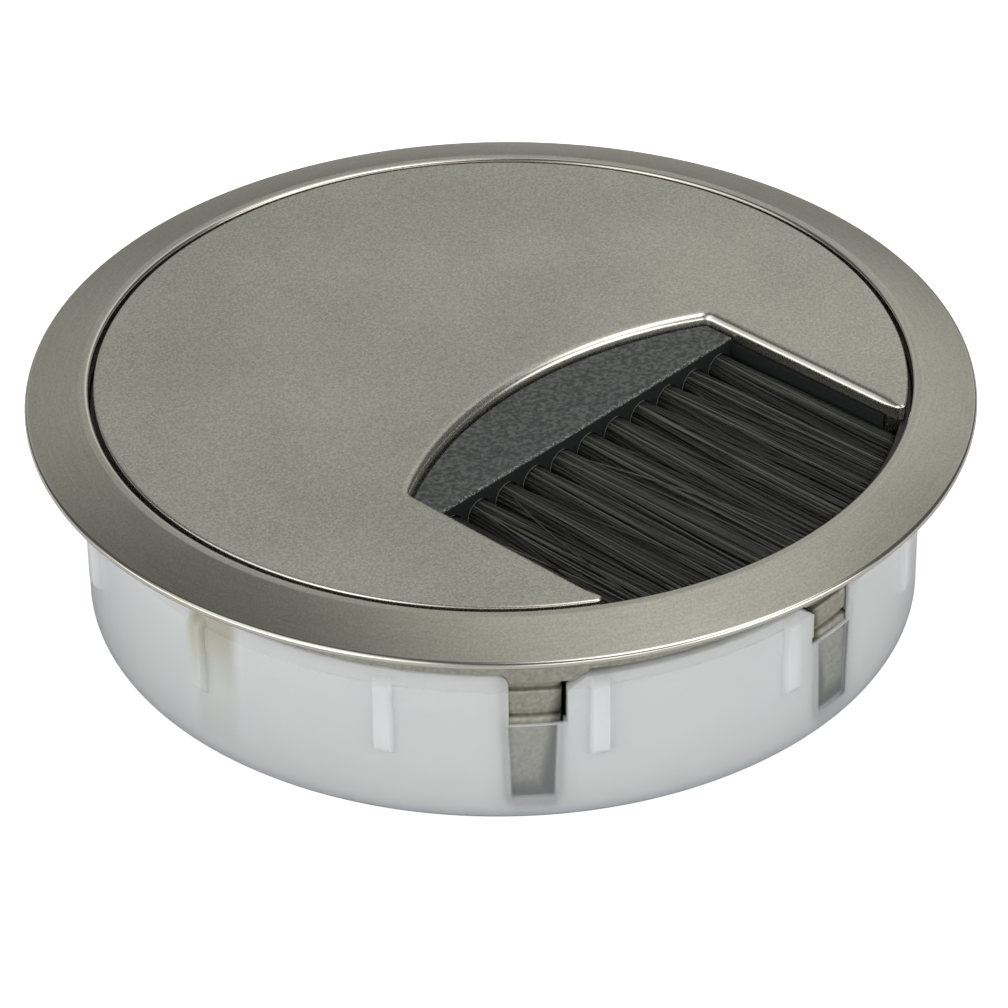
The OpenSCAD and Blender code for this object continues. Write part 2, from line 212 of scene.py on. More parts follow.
class Graph:
    """Builds one material's or world's node tree with short calls."""

    def __init__(self, owner):
        owner.use_nodes = True
        self.tree = owner.node_tree

    def node(self, kind, settings=None, **inputs):
        made = self.tree.nodes.new(kind)
        for key, value in (settings or {}).items():
            setattr(made, key, value)
        for key, value in inputs.items():
            self.feed(made.inputs[key.replace("_", " ")], value)
        return made

    def feed(self, socket, value):
        if isinstance(value, bpy.types.NodeSocket):
            self.tree.links.new(value, socket)
        elif isinstance(value, tuple) and len(value) == 3 and socket.type == "RGBA":
            socket.default_value = (*value, 1)
        else:
            socket.default_value = value

    def math(self, operation, a, b=0.0, clamp=False):
        made = self.node("ShaderNodeMath", {"operation": operation, "use_clamp": clamp})
        self.feed(made.inputs[0], a)
        self.feed(made.inputs[1], b)
        return made.outputs[0]

    def step(self, value, low, high, to_low=0.0, to_high=1.0):
        made = self.node("ShaderNodeMapRange", {"interpolation_type": "SMOOTHSTEP"},
                         Value=value, From_Min=low, From_Max=high, To_Min=to_low, To_Max=to_high)
        return made.outputs["Result"]

    def noise(self, vector, scale, detail=2.0):
        made = self.node("ShaderNodeTexNoise", Vector=vector, Scale=scale, Detail=detail)
        return made.outputs["Fac"]

    def mix(self, factor, a, b):
        made = self.node("ShaderNodeMix", {"data_type": "RGBA"})
        self.feed(made.inputs["Factor"], factor)
        self.feed(made.inputs[6], a)
        self.feed(made.inputs[7], b)
        return made.outputs[2]

    def bump(self, height, distance, strength=1.0, normal=None):
        made = self.node("ShaderNodeBump", Height=height, Distance=distance * MM,
                         Strength=strength)
        if normal:
            self.feed(made.inputs["Normal"], normal)
        return made.outputs["Normal"]

    def place(self):
        """The point's place in the row frame: (vector, x, y, z), in metres."""
        vector = self.node("ShaderNodeTexCoord").outputs["Object"]
        parts = self.node("ShaderNodeSeparateXYZ", Vector=vector).outputs
        return vector, parts[0], parts[1], parts[2]

    def combine(self, x, y, z):
        return self.node("ShaderNodeCombineXYZ", X=x, Y=y, Z=z).outputs[0]


def material(name):
    made = bpy.data.materials.new(name)
    graph = Graph(made)
    return made, graph, graph.tree.nodes["Principled BSDF"]


def bead_blasted_nickel():
    """The lid: satin nickel with a fine grain that has no direction, and its edges polished and
    painted lighter as a highlight.
    """
    made, g, surface = material("bead blasted nickel")
    vector, x, y, z = g.place()
    grain = g.noise(vector, 5000, 3)
    cloud = g.noise(vector, 60, 3)
    tone = g.mix(g.step(cloud, 0.3, 0.7), (0.525, 0.510, 0.430), (0.62, 0.603, 0.512))
    tone = g.mix(g.step(grain, 0.25, 0.75), g.mix(0.24, tone, (0.0, 0.0, 0.0)),
                 g.mix(0.24, tone, (1.0, 1.0, 0.9)))
    facing = g.node("ShaderNodeSeparateXYZ")
    g.feed(facing.inputs[0], g.node("ShaderNodeNewGeometry").outputs["Normal"])
    # Edges and walls, where the surface turns from flat: polished smoother, and painted lighter as a
    # highlight.
    polish_and_highlight = g.step(facing.outputs["Z"], 0.97, 0.85)
    g.feed(surface.inputs["Base Color"], g.mix(polish_and_highlight, tone, (0.80, 0.78, 0.70)))
    g.feed(surface.inputs["Metallic"], 1.0)
    g.feed(surface.inputs["Roughness"],
           g.math("SUBTRACT", g.step(grain, 0.2, 0.8, 0.34, 0.44), g.step(polish_and_highlight, 0, 1, 0, 0.14)))
    g.feed(surface.inputs["Normal"], g.bump(grain, 0.02, g.step(polish_and_highlight, 0, 1, 0.35, 0.0)))
    return made


def round_ring(g, x, y):
    """The angle from -Y towards +X, in degrees, less the turn of the legs and ribs."""
    angle = g.math("ARCTAN2", x, g.math("MULTIPLY", y, -1))
    return g.math("SUBTRACT", g.math("MULTIPLY", angle, 180 / math.pi), PATTERN_TURN)


def from_leg(g, x, y, leg_turn):
    """Distance round the ring from the nearest leg at leg_turn on either side of a pair's
    middle line, in metres, and positive on the side of that line."""
    wrapped = g.node("ShaderNodeMath", {"operation": "WRAP"})
    g.feed(wrapped.inputs[0], round_ring(g, x, y))
    g.feed(wrapped.inputs[1], 90.0)
    g.feed(wrapped.inputs[2], -90.0)
    turn = g.math("SUBTRACT", leg_turn, g.math("ABSOLUTE", wrapped.outputs[0]))
    return g.math("MULTIPLY", turn, math.pi / 180 * MAP_R * MM)


def leg_mask(g, s, z, inset, soft, low_z, high_z):
    """1 over a leg and 0 beside it, below it and above high_z, with soft edges."""
    half = g.step(z, LEG_LOW_Z * MM, LEG_ROOT_Z * MM, (LEG_END_HALF - inset) * MM,
                  (LEG_TOP_HALF - inset) * MM)
    beside = g.step(g.math("SUBTRACT", g.math("ABSOLUTE", s), half), -soft * MM, 0.0)
    above_end = g.step(z, low_z * MM, (low_z + 1.6 * soft) * MM)
    below_top = g.step(z, high_z * MM, (high_z - 0.25) * MM)
    inside = g.math("MULTIPLY", above_end, below_top)
    return g.math("MULTIPLY", g.math("SUBTRACT", 1.0, beside), inside)


def brushed_nickel():
    """The ring: satin nickel brushed round the flange, and dull as cast below it, with polished
    edges painted lighter as a highlight and painted shade on the snap legs' sides and lower ends.
    """
    made, g, surface = material("brushed nickel")
    vector, x, y, z = g.place()
    radius = g.math("SQRT", g.math("ADD", g.math("MULTIPLY", x, x), g.math("MULTIPLY", y, y)))
    turn = g.math("ARCTAN2", x, y)
    round_way = g.combine(g.math("MULTIPLY", radius, 5200), g.math("MULTIPLY", turn, 9),
                          g.math("MULTIPLY", z, 5200))
    brushing = g.noise(round_way, 1, 3)
    cloud = g.noise(vector, 70, 3)
    cast = g.noise(vector, 2200, 4)
    grain = g.noise(vector, 4800, 3)
    below = g.step(z, -0.4 * MM, -1.8 * MM)
    satin = g.mix(g.step(g.math("ADD", brushing, g.math("MULTIPLY", cloud, 0.5)), 0.5, 1.0),
                  (0.52, 0.507, 0.42), (0.58, 0.565, 0.475))
    satin = g.mix(g.step(grain, 0.25, 0.75), g.mix(0.13, satin, (0.0, 0.0, 0.0)),
                  g.mix(0.13, satin, (1.0, 1.0, 0.9)))
    # The flange's outer edge and its lip: polished smoother, and painted lighter as a highlight.
    outer_edge_of = g.step(radius, (FLANGE_R - 0.42) * MM, (FLANGE_R - 0.22) * MM)
    lip_edge = g.step(radius, (OPENING_R + 0.45) * MM, (OPENING_R + 0.25) * MM)
    polish_and_highlight = g.math("MULTIPLY", g.math("MAXIMUM", outer_edge_of, lip_edge),
                       g.math("SUBTRACT", 1.0, below))
    satin = g.mix(polish_and_highlight, satin, (0.72, 0.70, 0.62))
    dull = g.mix(g.step(cast, 0.3, 0.7), (0.42, 0.405, 0.345), (0.56, 0.54, 0.47))
    # Painted shade on the snap legs: dark down the side towards the pair's middle line, widening
    # downwards, along the outer side and over the lower end.
    s = from_leg(g, x, y, SNAP_TURN)
    inner = g.math("ADD", s, g.math("MULTIPLY", g.math("SUBTRACT", -11.0 * MM, z), 0.17))
    inner_edge = g.step(inner, 0.9 * MM, 2.1 * MM)
    outer_edge = g.step(s, -1.8 * MM, -2.4 * MM)
    lower_end = g.step(z, -15.2 * MM, -17.6 * MM)
    painted_shade = g.math("MAXIMUM", g.math("MAXIMUM", inner_edge, outer_edge), lower_end)
    on_leg = g.math("MULTIPLY", g.step(z, -5.4 * MM, -6.2 * MM),
                    g.step(g.math("ABSOLUTE", s), 4.0 * MM, 3.5 * MM))
    painted_shade = g.math("MULTIPLY", painted_shade, on_leg)
    g.feed(surface.inputs["Base Color"],
           g.mix(painted_shade, g.mix(below, satin, dull), (0.13, 0.127, 0.10)))
    g.feed(surface.inputs["Metallic"], 1.0)
    dry = g.step(below, 0, 1, 0.33, 0.58)
    g.feed(surface.inputs["Roughness"], g.math("SUBTRACT", dry, g.step(polish_and_highlight, 0, 1, 0, 0.15)))
    lines = g.bump(brushing, 0.006, g.step(g.math("MAXIMUM", below, polish_and_highlight), 0, 1, 0.5, 0.0))
    g.feed(surface.inputs["Normal"], g.bump(cast, 0.03, g.step(below, 0, 1, 0.05, 0.5), lines))
    return made


def milky_plastic():
    """The sleeve: cloudy polypropylene, clear over the snap legs where its wall is thin,
    with the plain legs' shade painted faintly onto the full wall, and painted bluish shade along its
    bottom edge."""
    made, g, surface = material("milky plastic")
    vector, x, y, z = g.place()
    skin = leg_mask(g, from_leg(g, x, y, SNAP_TURN), z, 0.1, 0.65, -18.4, NOTCH_LOW_Z)
    behind = leg_mask(g, from_leg(g, x, y, 67.5), z, -0.6, 1.6, -19.0, -4.0)
    cloud = g.noise(vector, 90, 3)
    grain = g.noise(vector, 1500, 2)
    tone = g.mix(g.step(cloud, 0.3, 0.7), (0.86, 0.90, 0.915), (0.89, 0.93, 0.94))
    # Painted shade: where a plain leg stands behind the wall, its shade is painted olive onto the
    # wall, strongest near the top and fading downwards.
    tone = g.mix(g.math("MULTIPLY", behind, g.step(z, -14 * MM, -4.5 * MM, 0.25, 1.0)), tone,
                 (0.56, 0.55, 0.45))
    # Painted shade: bluish and darker towards the bottom edge.
    tone = g.mix(g.step(z, -18.6 * MM, -20.0 * MM, 0, 0.5), tone, (0.50, 0.58, 0.62))
    g.feed(surface.inputs["Base Color"], tone)
    g.feed(surface.inputs["Roughness"], 0.4)
    g.feed(surface.inputs["IOR"], 1.35)
    g.feed(surface.inputs["Subsurface Weight"], g.step(skin, 0, 1, 0.85, 0.0))
    g.feed(surface.inputs["Subsurface Radius"], (1.0, 1.0, 1.0))
    g.feed(surface.inputs["Subsurface Scale"], 3 * MM)
    g.feed(surface.inputs["Alpha"], g.step(skin, 0, 1, 1.0, 0.12))
    g.feed(surface.inputs["Normal"], g.bump(grain, 0.01, 0.3))
    return made


def grained_plastic():
    """The brush holder: spark-grained dark grey, with pale wear along its front edge and painted
    shade on its front face.
    """
    made, g, surface = material("grained plastic")
    vector, x, y, z = g.place()
    grain = g.noise(vector, 2300, 3)
    fleck = g.noise(vector, 5200, 2)
    tone = g.mix(g.step(grain, 0.35, 0.7), (0.048, 0.051, 0.049), (0.135, 0.142, 0.136))
    near_edge = g.math("MULTIPLY",
                       g.step(y, HOLDER_FRONT_Y * MM + 0.4 * MM, HOLDER_FRONT_Y * MM + 0.05 * MM),
                       g.step(z, HOLDER_TOP_Z * MM - 0.25 * MM, HOLDER_TOP_Z * MM - 0.02 * MM))
    worn = g.math("MULTIPLY", near_edge, g.step(fleck, 0.52, 0.6))
    in_front = g.math("MULTIPLY", g.step(y, HOLDER_FRONT_Y * MM + 0.12 * MM, HOLDER_FRONT_Y * MM),
                      g.step(z, HOLDER_TOP_Z * MM - 0.05 * MM, HOLDER_TOP_Z * MM - 0.25 * MM))
    # Painted shade: the front face, below the top edge, is painted much darker than the top.
    tone = g.mix(in_front, tone, (0.022, 0.025, 0.024))
    wrapped = g.node("ShaderNodeMath", {"operation": "WRAP"})
    for socket, value in zip(wrapped.inputs, (x, TUFT_PITCH / 2 * MM, -TUFT_PITCH / 2 * MM)):
        g.feed(socket, value)
    across, up = wrapped.outputs[0], g.math("SUBTRACT", z, TUFT_Z * MM)
    from_hole = g.math("SQRT", g.math("ADD", g.math("MULTIPLY", across, across),
                                      g.math("MULTIPLY", up, up)))
    arc = g.math("MULTIPLY", g.step(from_hole, 1.62 * MM, 1.5 * MM), in_front)
    # A pale line round the upper left of each hole's rim.
    upper_left_rim = g.math("MULTIPLY", arc, g.step(g.math("SUBTRACT", up, across), 0.9 * MM, 1.5 * MM))
    g.feed(surface.inputs["Base Color"],
           g.mix(g.math("MAXIMUM", worn, g.math("MULTIPLY", upper_left_rim, 0.8)), tone, (0.42, 0.43, 0.42)))
    g.feed(surface.inputs["Roughness"], g.step(in_front, 0, 1, 0.62, 0.9))
    g.feed(surface.inputs["Specular IOR Level"], g.step(in_front, 0, 1, 0.5, 0.12))
    g.feed(surface.inputs["Normal"], g.bump(grain, 0.09, 0.8))
    return made


def smooth_black():
    """The glide ring: plain black moulded plastic."""
    made, g, surface = material("smooth black")
    vector, x, y, z = g.place()
    haze = g.noise(vector, 300, 3)
    g.feed(surface.inputs["Base Color"],
           g.mix(g.step(haze, 0.3, 0.7), (0.012, 0.012, 0.012), (0.024, 0.024, 0.023)))
    g.feed(surface.inputs["Roughness"], g.step(haze, 0.3, 0.7, 0.4, 0.52))
    return made


def bristle_nylon():
    """The tufts: each filament has its own shade of near black."""
    made, g, surface = material("bristle nylon")
    own = g.node("ShaderNodeNewGeometry").outputs["Random Per Island"]
    shade_of = g.mix(g.math("POWER", own, 2.5), (0.040, 0.041, 0.035), (0.135, 0.138, 0.118))
    g.feed(surface.inputs["Base Color"], shade_of)
    g.feed(surface.inputs["Roughness"], g.step(own, 0, 1, 0.45, 0.6))
    g.feed(surface.inputs["Specular IOR Level"], 0.35)
    return made


def bright_metal(name, dark, light):
    """Zinc-plated steel or brass wire, with slight stains."""
    made, g, surface = material(name)
    vector, x, y, z = g.place()
    stain = g.noise(vector, 900, 4)
    g.feed(surface.inputs["Base Color"], g.mix(g.step(stain, 0.3, 0.7), dark, light))
    g.feed(surface.inputs["Metallic"], 1.0)
    g.feed(surface.inputs["Roughness"], g.step(stain, 0.3, 0.7, 0.28, 0.42))
    return made


def floor_paint():
    """The floor: plain white paper, burnt out to white as seen by the camera, with a painted shadow
    round the ring that only reflections and bounced light show.
    """
    made, g, surface = material("floor paper")
    vector, x, y, z = g.place()
    fibre = g.noise(vector, 40, 3)
    radius = g.math("SQRT", g.math("ADD", g.math("MULTIPLY", x, x), g.math("MULTIPLY", y, y)))
    paper = g.mix(g.step(fibre, 0.3, 0.7), (0.80, 0.80, 0.80), (0.82, 0.82, 0.82))
    # Painted shadow: the paper is painted dark round the ring, for the metal to reflect and to dim
    # the light bounced up; the camera sees it burnt out to white.
    g.feed(surface.inputs["Base Color"],
           g.mix(g.step(radius, 38 * MM, 58 * MM), (0.12, 0.12, 0.12), paper))
    g.feed(surface.inputs["Roughness"], 0.9)
    g.feed(surface.inputs["Emission Color"], (1.0, 1.0, 1.0))
    seen = g.node("ShaderNodeLightPath").outputs["Is Camera Ray"]
    g.feed(surface.inputs["Emission Strength"],
           g.math("MULTIPLY", seen, g.step(radius, 37.5 * MM, 38.5 * MM)))
    behind = g.node("ShaderNodeNewGeometry").outputs["Backfacing"]
    g.feed(surface.inputs["Alpha"], g.math("SUBTRACT", 1.0, behind))
    return made


# ---------------------------------------------------------------- ring

def snap_places():
    """(angle, side) of each snap leg; side is +1 where its pair's middle line is at larger
    angles, and distances s round the ring are positive on that side."""
    places = []
    for end in (0, 180):
        places.append((PATTERN_TURN + end - SNAP_TURN, 1))
        places.append((PATTERN_TURN + end + SNAP_TURN, -1))
    return places


def rib_angles():
    return [PATTERN_TURN + (i - (RIB_COUNT - 1) / 2) * RIB_PITCH for i in range(RIB_COUNT)]


def plate(bm, place, levels, back_r, edge_r, draft=0.0):
    """A curved plate. Each level is (z, s from, s to, front radius), from the lowest up.
    edge_r rounds its two upright front edges, and draft widens its back on each side."""
    angle, side = place
    loops = []
    for z, s_from, s_to, front_r in levels:
        soft = min(edge_r, 0.45 * (s_to - s_from))
        curve = [(soft * (1 - math.cos(a)), soft * (1 - math.sin(a)))
                 for a in (0, math.pi / 6, math.pi / 3, math.pi / 2)]
        front = [(s_from + x, front_r - back) for x, back in curve]
        front += [(s_from + soft + (s_to - s_from - 2 * soft) * k / 8, front_r)
                  for k in range(1, 8)]
        front += [(s_to - x, front_r - back) for x, back in reversed(curve)]
        behind = [(s_to + draft + (s_from - s_to - 2 * draft) * k / 4, back_r)
                  for k in range(5)]
        loops.append([point_at(angle + side * math.degrees(s / MAP_R), r, z)
                      for s, r in front + behind])
    stack(bm, loops)


def leg_half_width(z):
    """Half the width of a leg: straight sides that taper, and rounded lower corners."""
    corner_z = LEG_LOW_Z + LEG_CORNER_R
    if z >= corner_z:
        return LEG_END_HALF + (LEG_TOP_HALF - LEG_END_HALF) * (z - corner_z) / (
            LEG_ROOT_Z - corner_z)
    drop = min(corner_z - z, LEG_CORNER_R)
    return LEG_END_HALF - LEG_CORNER_R + math.sqrt(LEG_CORNER_R ** 2 - drop ** 2)


def leg_levels(heights, front_r, grow=0.0):
    """Levels of a leg: its rounded lower end, then these heights."""
    levels = []
    for k in range(9):
        z = LEG_LOW_Z + LEG_CORNER_R * (1 - math.cos(math.pi / 2 * k / 8))
        blunt = 0.0 if grow else 0.3 * max(0.0, 1 - (z - LEG_LOW_Z) / 0.3)
        half = leg_half_width(z) + grow
        levels.append((z - grow, -half, half, front_r(z) - blunt))
    for z in heights:
        half = leg_half_width(z) + grow
        levels.append((z, -half, half, front_r(z)))
    return levels


def plain_leg(bm, angle):
    """A leg that leans in behind the sleeve, with a flare where it joins the neck."""
    def front_r(z):
        lean_top = NECK_LOW_Z - 1
        return 38.0 - 0.9 * max(0.0, (lean_top - z) / (lean_top - LEG_LOW_Z))

    flare_r = 1.6
    flare_z = NECK_LOW_Z - flare_r
    levels = leg_levels((-14.0, -10.0, flare_z), front_r)
    for k in range(1, 7):
        z = flare_z + 1.4 * k / 6
        half = leg_half_width(z) + flare_r - math.sqrt(flare_r ** 2 - (z - flare_z) ** 2)
        levels.append((z, -half, half, front_r(z)))
    levels.append((LEG_ROOT_Z, *levels[-1][1:3], 38.0))
    plate(bm, (angle, 1), levels, 36.5, 0.35)


def snap_leg(bm, place):
    """A leg with two grooves across its face; the face under each groove has a round edge."""
    levels = leg_levels((-17.0, -16.0, -14.0, -12.0, -10.5), lambda z: SNAP_FACE_R)
    for low_z, high_z, round_r in ((-9.05, -8.35, 0.4), (-6.2, -5.3, 0.25)):
        for k in range(6):
            a = math.pi / 2 * k / 5
            z = low_z - round_r * (1 - math.sin(a))
            half = leg_half_width(z)
            levels.append((z, -half, half, SNAP_FACE_R - round_r * (1 - math.cos(a))))
        for z, r in ((low_z + 0.02, SNAP_GROOVE_R), (high_z - 0.02, SNAP_GROOVE_R),
                     (high_z, SNAP_FACE_R - 0.1), (high_z + 0.1, SNAP_FACE_R)):
            half = leg_half_width(z)
            levels.append((z, -half, half, r))
    levels = levels[:-2]
    levels.append((LEG_ROOT_Z, *levels[-1][1:3], SNAP_GROOVE_R))
    plate(bm, place, [(z, s_from + 0.1, s_to - 0.1, r) for z, s_from, s_to, r in levels],
          37.8, 0.25, 0.2)


def notch_sides(z, gap, rise):
    """How far the sleeve's notch reaches to each side at a height: (s from, s to)."""
    round_r = 1.3
    round_z = SLEEVE_TOP_Z - round_r + 0.2
    s_from = -NOTCH_OUT + gap
    if z > round_z:
        reach = min(z - round_z, round_r + gap)
        s_from = -NOTCH_OUT - round_r + math.sqrt((round_r + gap) ** 2 - reach ** 2)
    ramp_low, ramp_high = -6.2 + rise, PAIR_TOP_Z + 0.2 + rise
    along = min(max((z - ramp_low) / (ramp_high - ramp_low), 0.0), 1.0)
    return s_from, NOTCH_IN - gap + along * (1.96 + gap)


def apron(bm, place):
    """The plate over a snap leg that fills the shoulders of the sleeve's notch."""
    levels = []
    for k in range(15):
        z = -5.3 + 1.85 * k / 14
        levels.append((z, *notch_sides(z, 0.1, 0.35), SKIRT_R + 0.01 - (0.12 if k == 0 else 0)))
    plate(bm, place, levels, 37.9, 0.08)


def ring_profile():
    """The ring's section: flange, lip, skirt, shelf and neck, with its edges eased."""
    corners = [
        (OPENING_R, SHELF_Z, 0.1), (OPENING_R, RIM_Z, 0.35), (39.4, RIM_Z, 0.4),
        (FLANGE_R - 0.02, 0.69, 0.42), (FLANGE_R - 0.02, 0.0, 0.3),
        (SKIRT_R, 0.0, 0.15), (SKIRT_R, SKIRT_LOW_Z, 0.08),
        (NECK_R, SKIRT_LOW_Z, 0.1), (NECK_R, NECK_LOW_Z, 0.15), (THROAT_R, NECK_LOW_Z, 0.15),
        (THROAT_R, SHELF_Z, 0.15),
    ]
    return rounded(corners, 6)


def separate(build, *arguments):
    """A temporary object made by one of the mesh functions."""
    bm = bmesh.new()
    build(bm, *arguments)
    return add_object(mesh_from(bm, "temporary"), "temporary")


def ring(finish):
    bm = bmesh.new()
    lathe(bm, ring_profile(), 360)
    obj = add_object(mesh_from(bm, "cast_ring"), "cast_ring")
    legs = [separate(plain_leg, PATTERN_TURN + end + 90 + turn)
            for end in (0, 180) for turn in (-22.5, 22.5)]
    for place_of in snap_places():
        legs.append(separate(snap_leg, place_of))
        legs.append(separate(apron, place_of))
    combined(obj, legs, "UNION")
    half = math.degrees(0.95 / SKIRT_R)
    slots = [separate(tube, (0, 0), (SKIRT_R - 0.18, SKIRT_R + 1), (SKIRT_LOW_Z - 0.4, -0.6),
                      (angle - half, angle + half), 3) for angle in rib_angles()]
    combined(obj, slots, "DIFFERENCE")
    shade(obj.data, 32)
    place(obj, "ring", "nickel_ring", finish, "flange_ring")


def glide(finish):
    """The black ring that the lid turns in."""
    corners = [(37.5, SHELF_Z, 0.15), (38.4, SHELF_Z, 0.15), (38.4, 0.45, 0.15),
               (37.5, 0.45, 0.15)]
    bm = bmesh.new()
    lathe(bm, rounded(corners, 4), 300)
    obj = add_object(mesh_from(bm, "glide_band"), "glide_band")
    shade(obj.data, 32)
    place(obj, "glide", "black_glide", finish, "glide_ring")


# ---------------------------------------------------------------- sleeve

def rib_height(angle, z):
    """How far a grip rib stands out of the wall at a place on the sleeve."""
    nearest = min(abs((angle - rib + 180) % 360 - 180) for rib in rib_angles())
    arc = math.radians(nearest) * SLEEVE_R
    side = blend_step(1.0 - arc, 0.0, 0.35)
    height, end_r, end_z = 0.8, 1.1, -12.4
    if z < end_z:
        height = max(0.0, math.sqrt(max(end_r ** 2 - (end_z - z) ** 2, 0.0)) - 0.3)
    elif z > -5.8:
        height = max(0.0, -5.0 - z)
    return side * height


def sleeve_section(angle):
    """The sleeve's closed section at an angle, from the bottom up its outside."""
    from_pair = abs((angle - PATTERN_TURN + 90) % 180 - 90)
    top_z = PAIR_TOP_Z if from_pair < SNAP_TURN else SLEEVE_TOP_Z
    heights = [-17.5, -15.5, -13.7]
    heights += [-13.5 + 0.11 * k for k in range(11)]
    heights += [-11.6, -10.2, COLLAR_LOW_Z - 0.12]
    collar = [COLLAR_LOW_Z - 0.05, COLLAR_LOW_Z + 0.03, -7.8, -6.6,
              COLLAR_HIGH_Z - 0.03, COLLAR_HIGH_Z + 0.05]
    heights += collar + [COLLAR_HIGH_Z + 0.12, -5.75, -5.4, -5.05, top_z - 0.12]
    points = []
    for k in range(6):
        a = math.pi / 2 * k / 5
        points.append((SLEEVE_R - 0.5 * (1 - math.sin(a)), SLEEVE_LOW_Z + 0.5 * (1 - math.cos(a))))
    for z in heights:
        proud = COLLAR_PROUD if COLLAR_LOW_Z < z < COLLAR_HIGH_Z else 0.0
        points.append((SLEEVE_R + max(proud, rib_height(angle, z)), z))
    points += [(SLEEVE_R - 0.04, top_z - 0.03), (SLEEVE_R - 0.12, top_z)]
    points += [(SLEEVE_IN_R + 0.12, top_z), (SLEEVE_IN_R + 0.03, top_z - 0.04)]
    points += [(SLEEVE_IN_R, z) for z in (-5.2, -9.0, -14.0, SLEEVE_LOW_Z + 0.1)]
    points += [(SLEEVE_IN_R + 0.1, SLEEVE_LOW_Z)]
    return points


def sleeve_angles():
    """Angles of the sleeve's sections, close together at the ribs' sides."""
    angles = {1.5 * k for k in range(240)}
    for rib in rib_angles():
        angles = {a for a in angles if abs((a - rib + 180) % 360 - 180) > 1.9}
        for k in range(-6, 7):
            s = math.copysign(0.6 + 0.08 * (abs(k) - 1), k) if k else 0.0
            angles.add((rib + math.degrees(s / SLEEVE_R)) % 360)
    return sorted(angles)


def sleeve(finish):
    """The milky sleeve, with notches and pockets cut out for the snap legs."""
    bm = bmesh.new()
    loops = []
    for angle in sleeve_angles():
        loops.append([point_at(angle, r, z) for r, z in sleeve_section(angle)])
    stack(bm, loops, close_ring=True)
    obj = add_object(mesh_from(bm, "milky_sleeve"), "milky_sleeve")
    cutters = []
    for place_of in snap_places():
        heights = [NOTCH_LOW_Z, -8.0, -6.2] + [-5.6 + 0.1 * k for k in range(20)]
        notch = [(z, *notch_sides(z, 0, 0), 42.0) for z in heights]
        cutters.append(separate(plate, place_of, notch, 37.0, 0.0))
        pocket_r = SLEEVE_R - SKIN_T
        pocket = leg_levels((-14.0, -10.0, -3.0), lambda z: pocket_r, 0.15)
        cutters.append(separate(plate, place_of, pocket, 37.0, 0.0))
    combined(obj, cutters, "DIFFERENCE")
    shade(obj.data, 32)
    place(obj, "ring", "milky_plastic", finish, "clamp_sleeve")


# ---------------------------------------------------------------- lid

def lid_outline():
    """The lid from above, anticlockwise, as (point, width of the rounding at its top edge)."""
    tip_y = -math.sqrt(LID_R ** 2 - CUTOUT_X ** 2)
    inner_y = CUTOUT_CENTRE_Y + math.sqrt(CUTOUT_END_R ** 2 - CUTOUT_X ** 2)
    tip_angle = math.degrees(math.asin(CUTOUT_X / LID_R))
    corners = []
    rim_steps = 300
    for k in range(rim_steps + 1):
        angle = tip_angle + 2 + (360 - 2 * tip_angle - 4) * k / rim_steps
        a = math.radians(angle)
        corners.append((LID_R * math.sin(a), -LID_R * math.cos(a), 0))
    wall = [(-CUTOUT_X, tip_y, 0.6)]
    wall += [(-CUTOUT_X, tip_y + (inner_y - tip_y) * k / 20, 0) for k in range(1, 20)]
    wall.append((-CUTOUT_X, inner_y, 1.0))
    half_turn = math.asin(CUTOUT_X / CUTOUT_END_R)
    end = []
    end_steps = 72
    for k in range(1, end_steps):
        a = half_turn * 0.93 * (2 * k / end_steps - 1)
        end.append((CUTOUT_END_R * math.sin(a), CUTOUT_CENTRE_Y + CUTOUT_END_R * math.cos(a), 0))
    corners += wall + end + [(-x, y, r) for x, y, r in reversed(wall)]
    points = rounded(corners, 8)
    widths = []
    for p in points:
        inside = blend_step(LID_R - p.length, 0.05, 2.5)
        widths.append(0.26 + (0.8 - 0.26) * inside)
    return points, widths


def lid_plate(bm):
    points, widths = lid_outline()
    count = len(points)
    inward = []
    for i in range(count):
        along = (points[(i + 1) % count] - points[i - 1]).normalized()
        inward.append(Vector((-along.y, along.x)))
    loops = []
    for offset, z in ((0.12, PLATE_LOW_Z), (0.0, PLATE_LOW_Z + 0.12)):
        loops.append([(*(p + n * offset), z) for p, n in zip(points, inward)])
    steps = 9
    for k in range(steps + 1):
        a = math.pi / 2 * k / steps
        loops.append([(*(p + n * w * (1 - math.cos(a))), RIM_Z - w * (1 - math.sin(a)))
                      for p, n, w in zip(points, inward, widths)])
    stack(bm, [[Vector(p) * MM for p in loop] for loop in loops])


def lid(finish):
    bm = bmesh.new()
    lid_plate(bm)
    obj = add_object(mesh_from(bm, "lid_plate"), "lid_plate")
    under = []
    skirt_end = math.degrees(math.asin((CUTOUT_X + 0.1) / 36.25))
    shapes = [((0, 0), (36.25, 37.35), (-2.9, PLATE_LOW_Z + 0.05),
               (skirt_end, 360 - skirt_end), 240)]
    for x in (-12, 12):
        shapes.append(((x, 1), (1.1, 2.0), (-1.6, PLATE_LOW_Z + 0.05), (0, 360), 40))
    for shape in shapes:
        bm = bmesh.new()
        tube(bm, *shape)
        under.append(add_object(mesh_from(bm, "under"), "under"))
    combined(obj, under, "UNION")
    shade(obj.data, 35, cap_area=500 * MM * MM)
    place(obj, "lid", "nickel_lid", finish, "lid_disc")


# ---------------------------------------------------------------- brush

